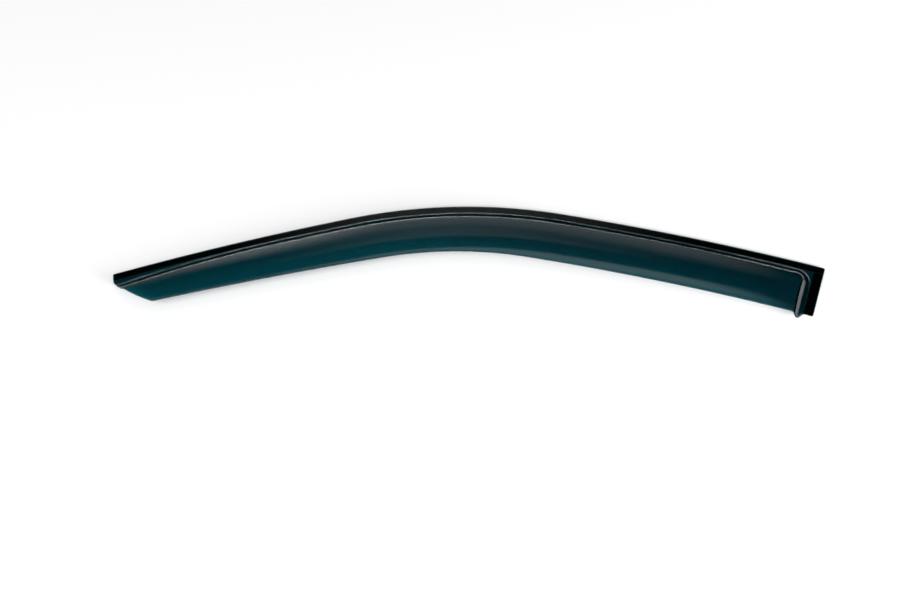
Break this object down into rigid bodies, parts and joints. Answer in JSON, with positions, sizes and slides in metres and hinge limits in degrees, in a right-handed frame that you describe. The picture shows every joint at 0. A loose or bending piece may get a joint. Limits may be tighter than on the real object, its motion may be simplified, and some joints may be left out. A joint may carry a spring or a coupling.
{
  "type": "window rain deflector",
  "caption": "Long arched smoked acrylic visor with a flat adhesive flange, a stepped ridge and a bowed panel that shields a door window.",
  "frame": {"origin": "on the adhesive face, in the middle of the top tape's width, under the highest point of the arched top edge", "axes": "+X along the door from the front tip to the rear end, +Y up the door, +Z outward from the door"},
  "size_m": [0.9559, 0.1637, 0.0221],
  "materials": {
    "smoked_acrylic": "clear smoked gloss",
    "foam_tape": "matte foam with a tacky face"
  },
  "bodies": {
    "root": {"deflector_shell": "smoked_acrylic", "top_tape": "foam_tape", "end_tape": "foam_tape"}
  },
  "joints": []
}
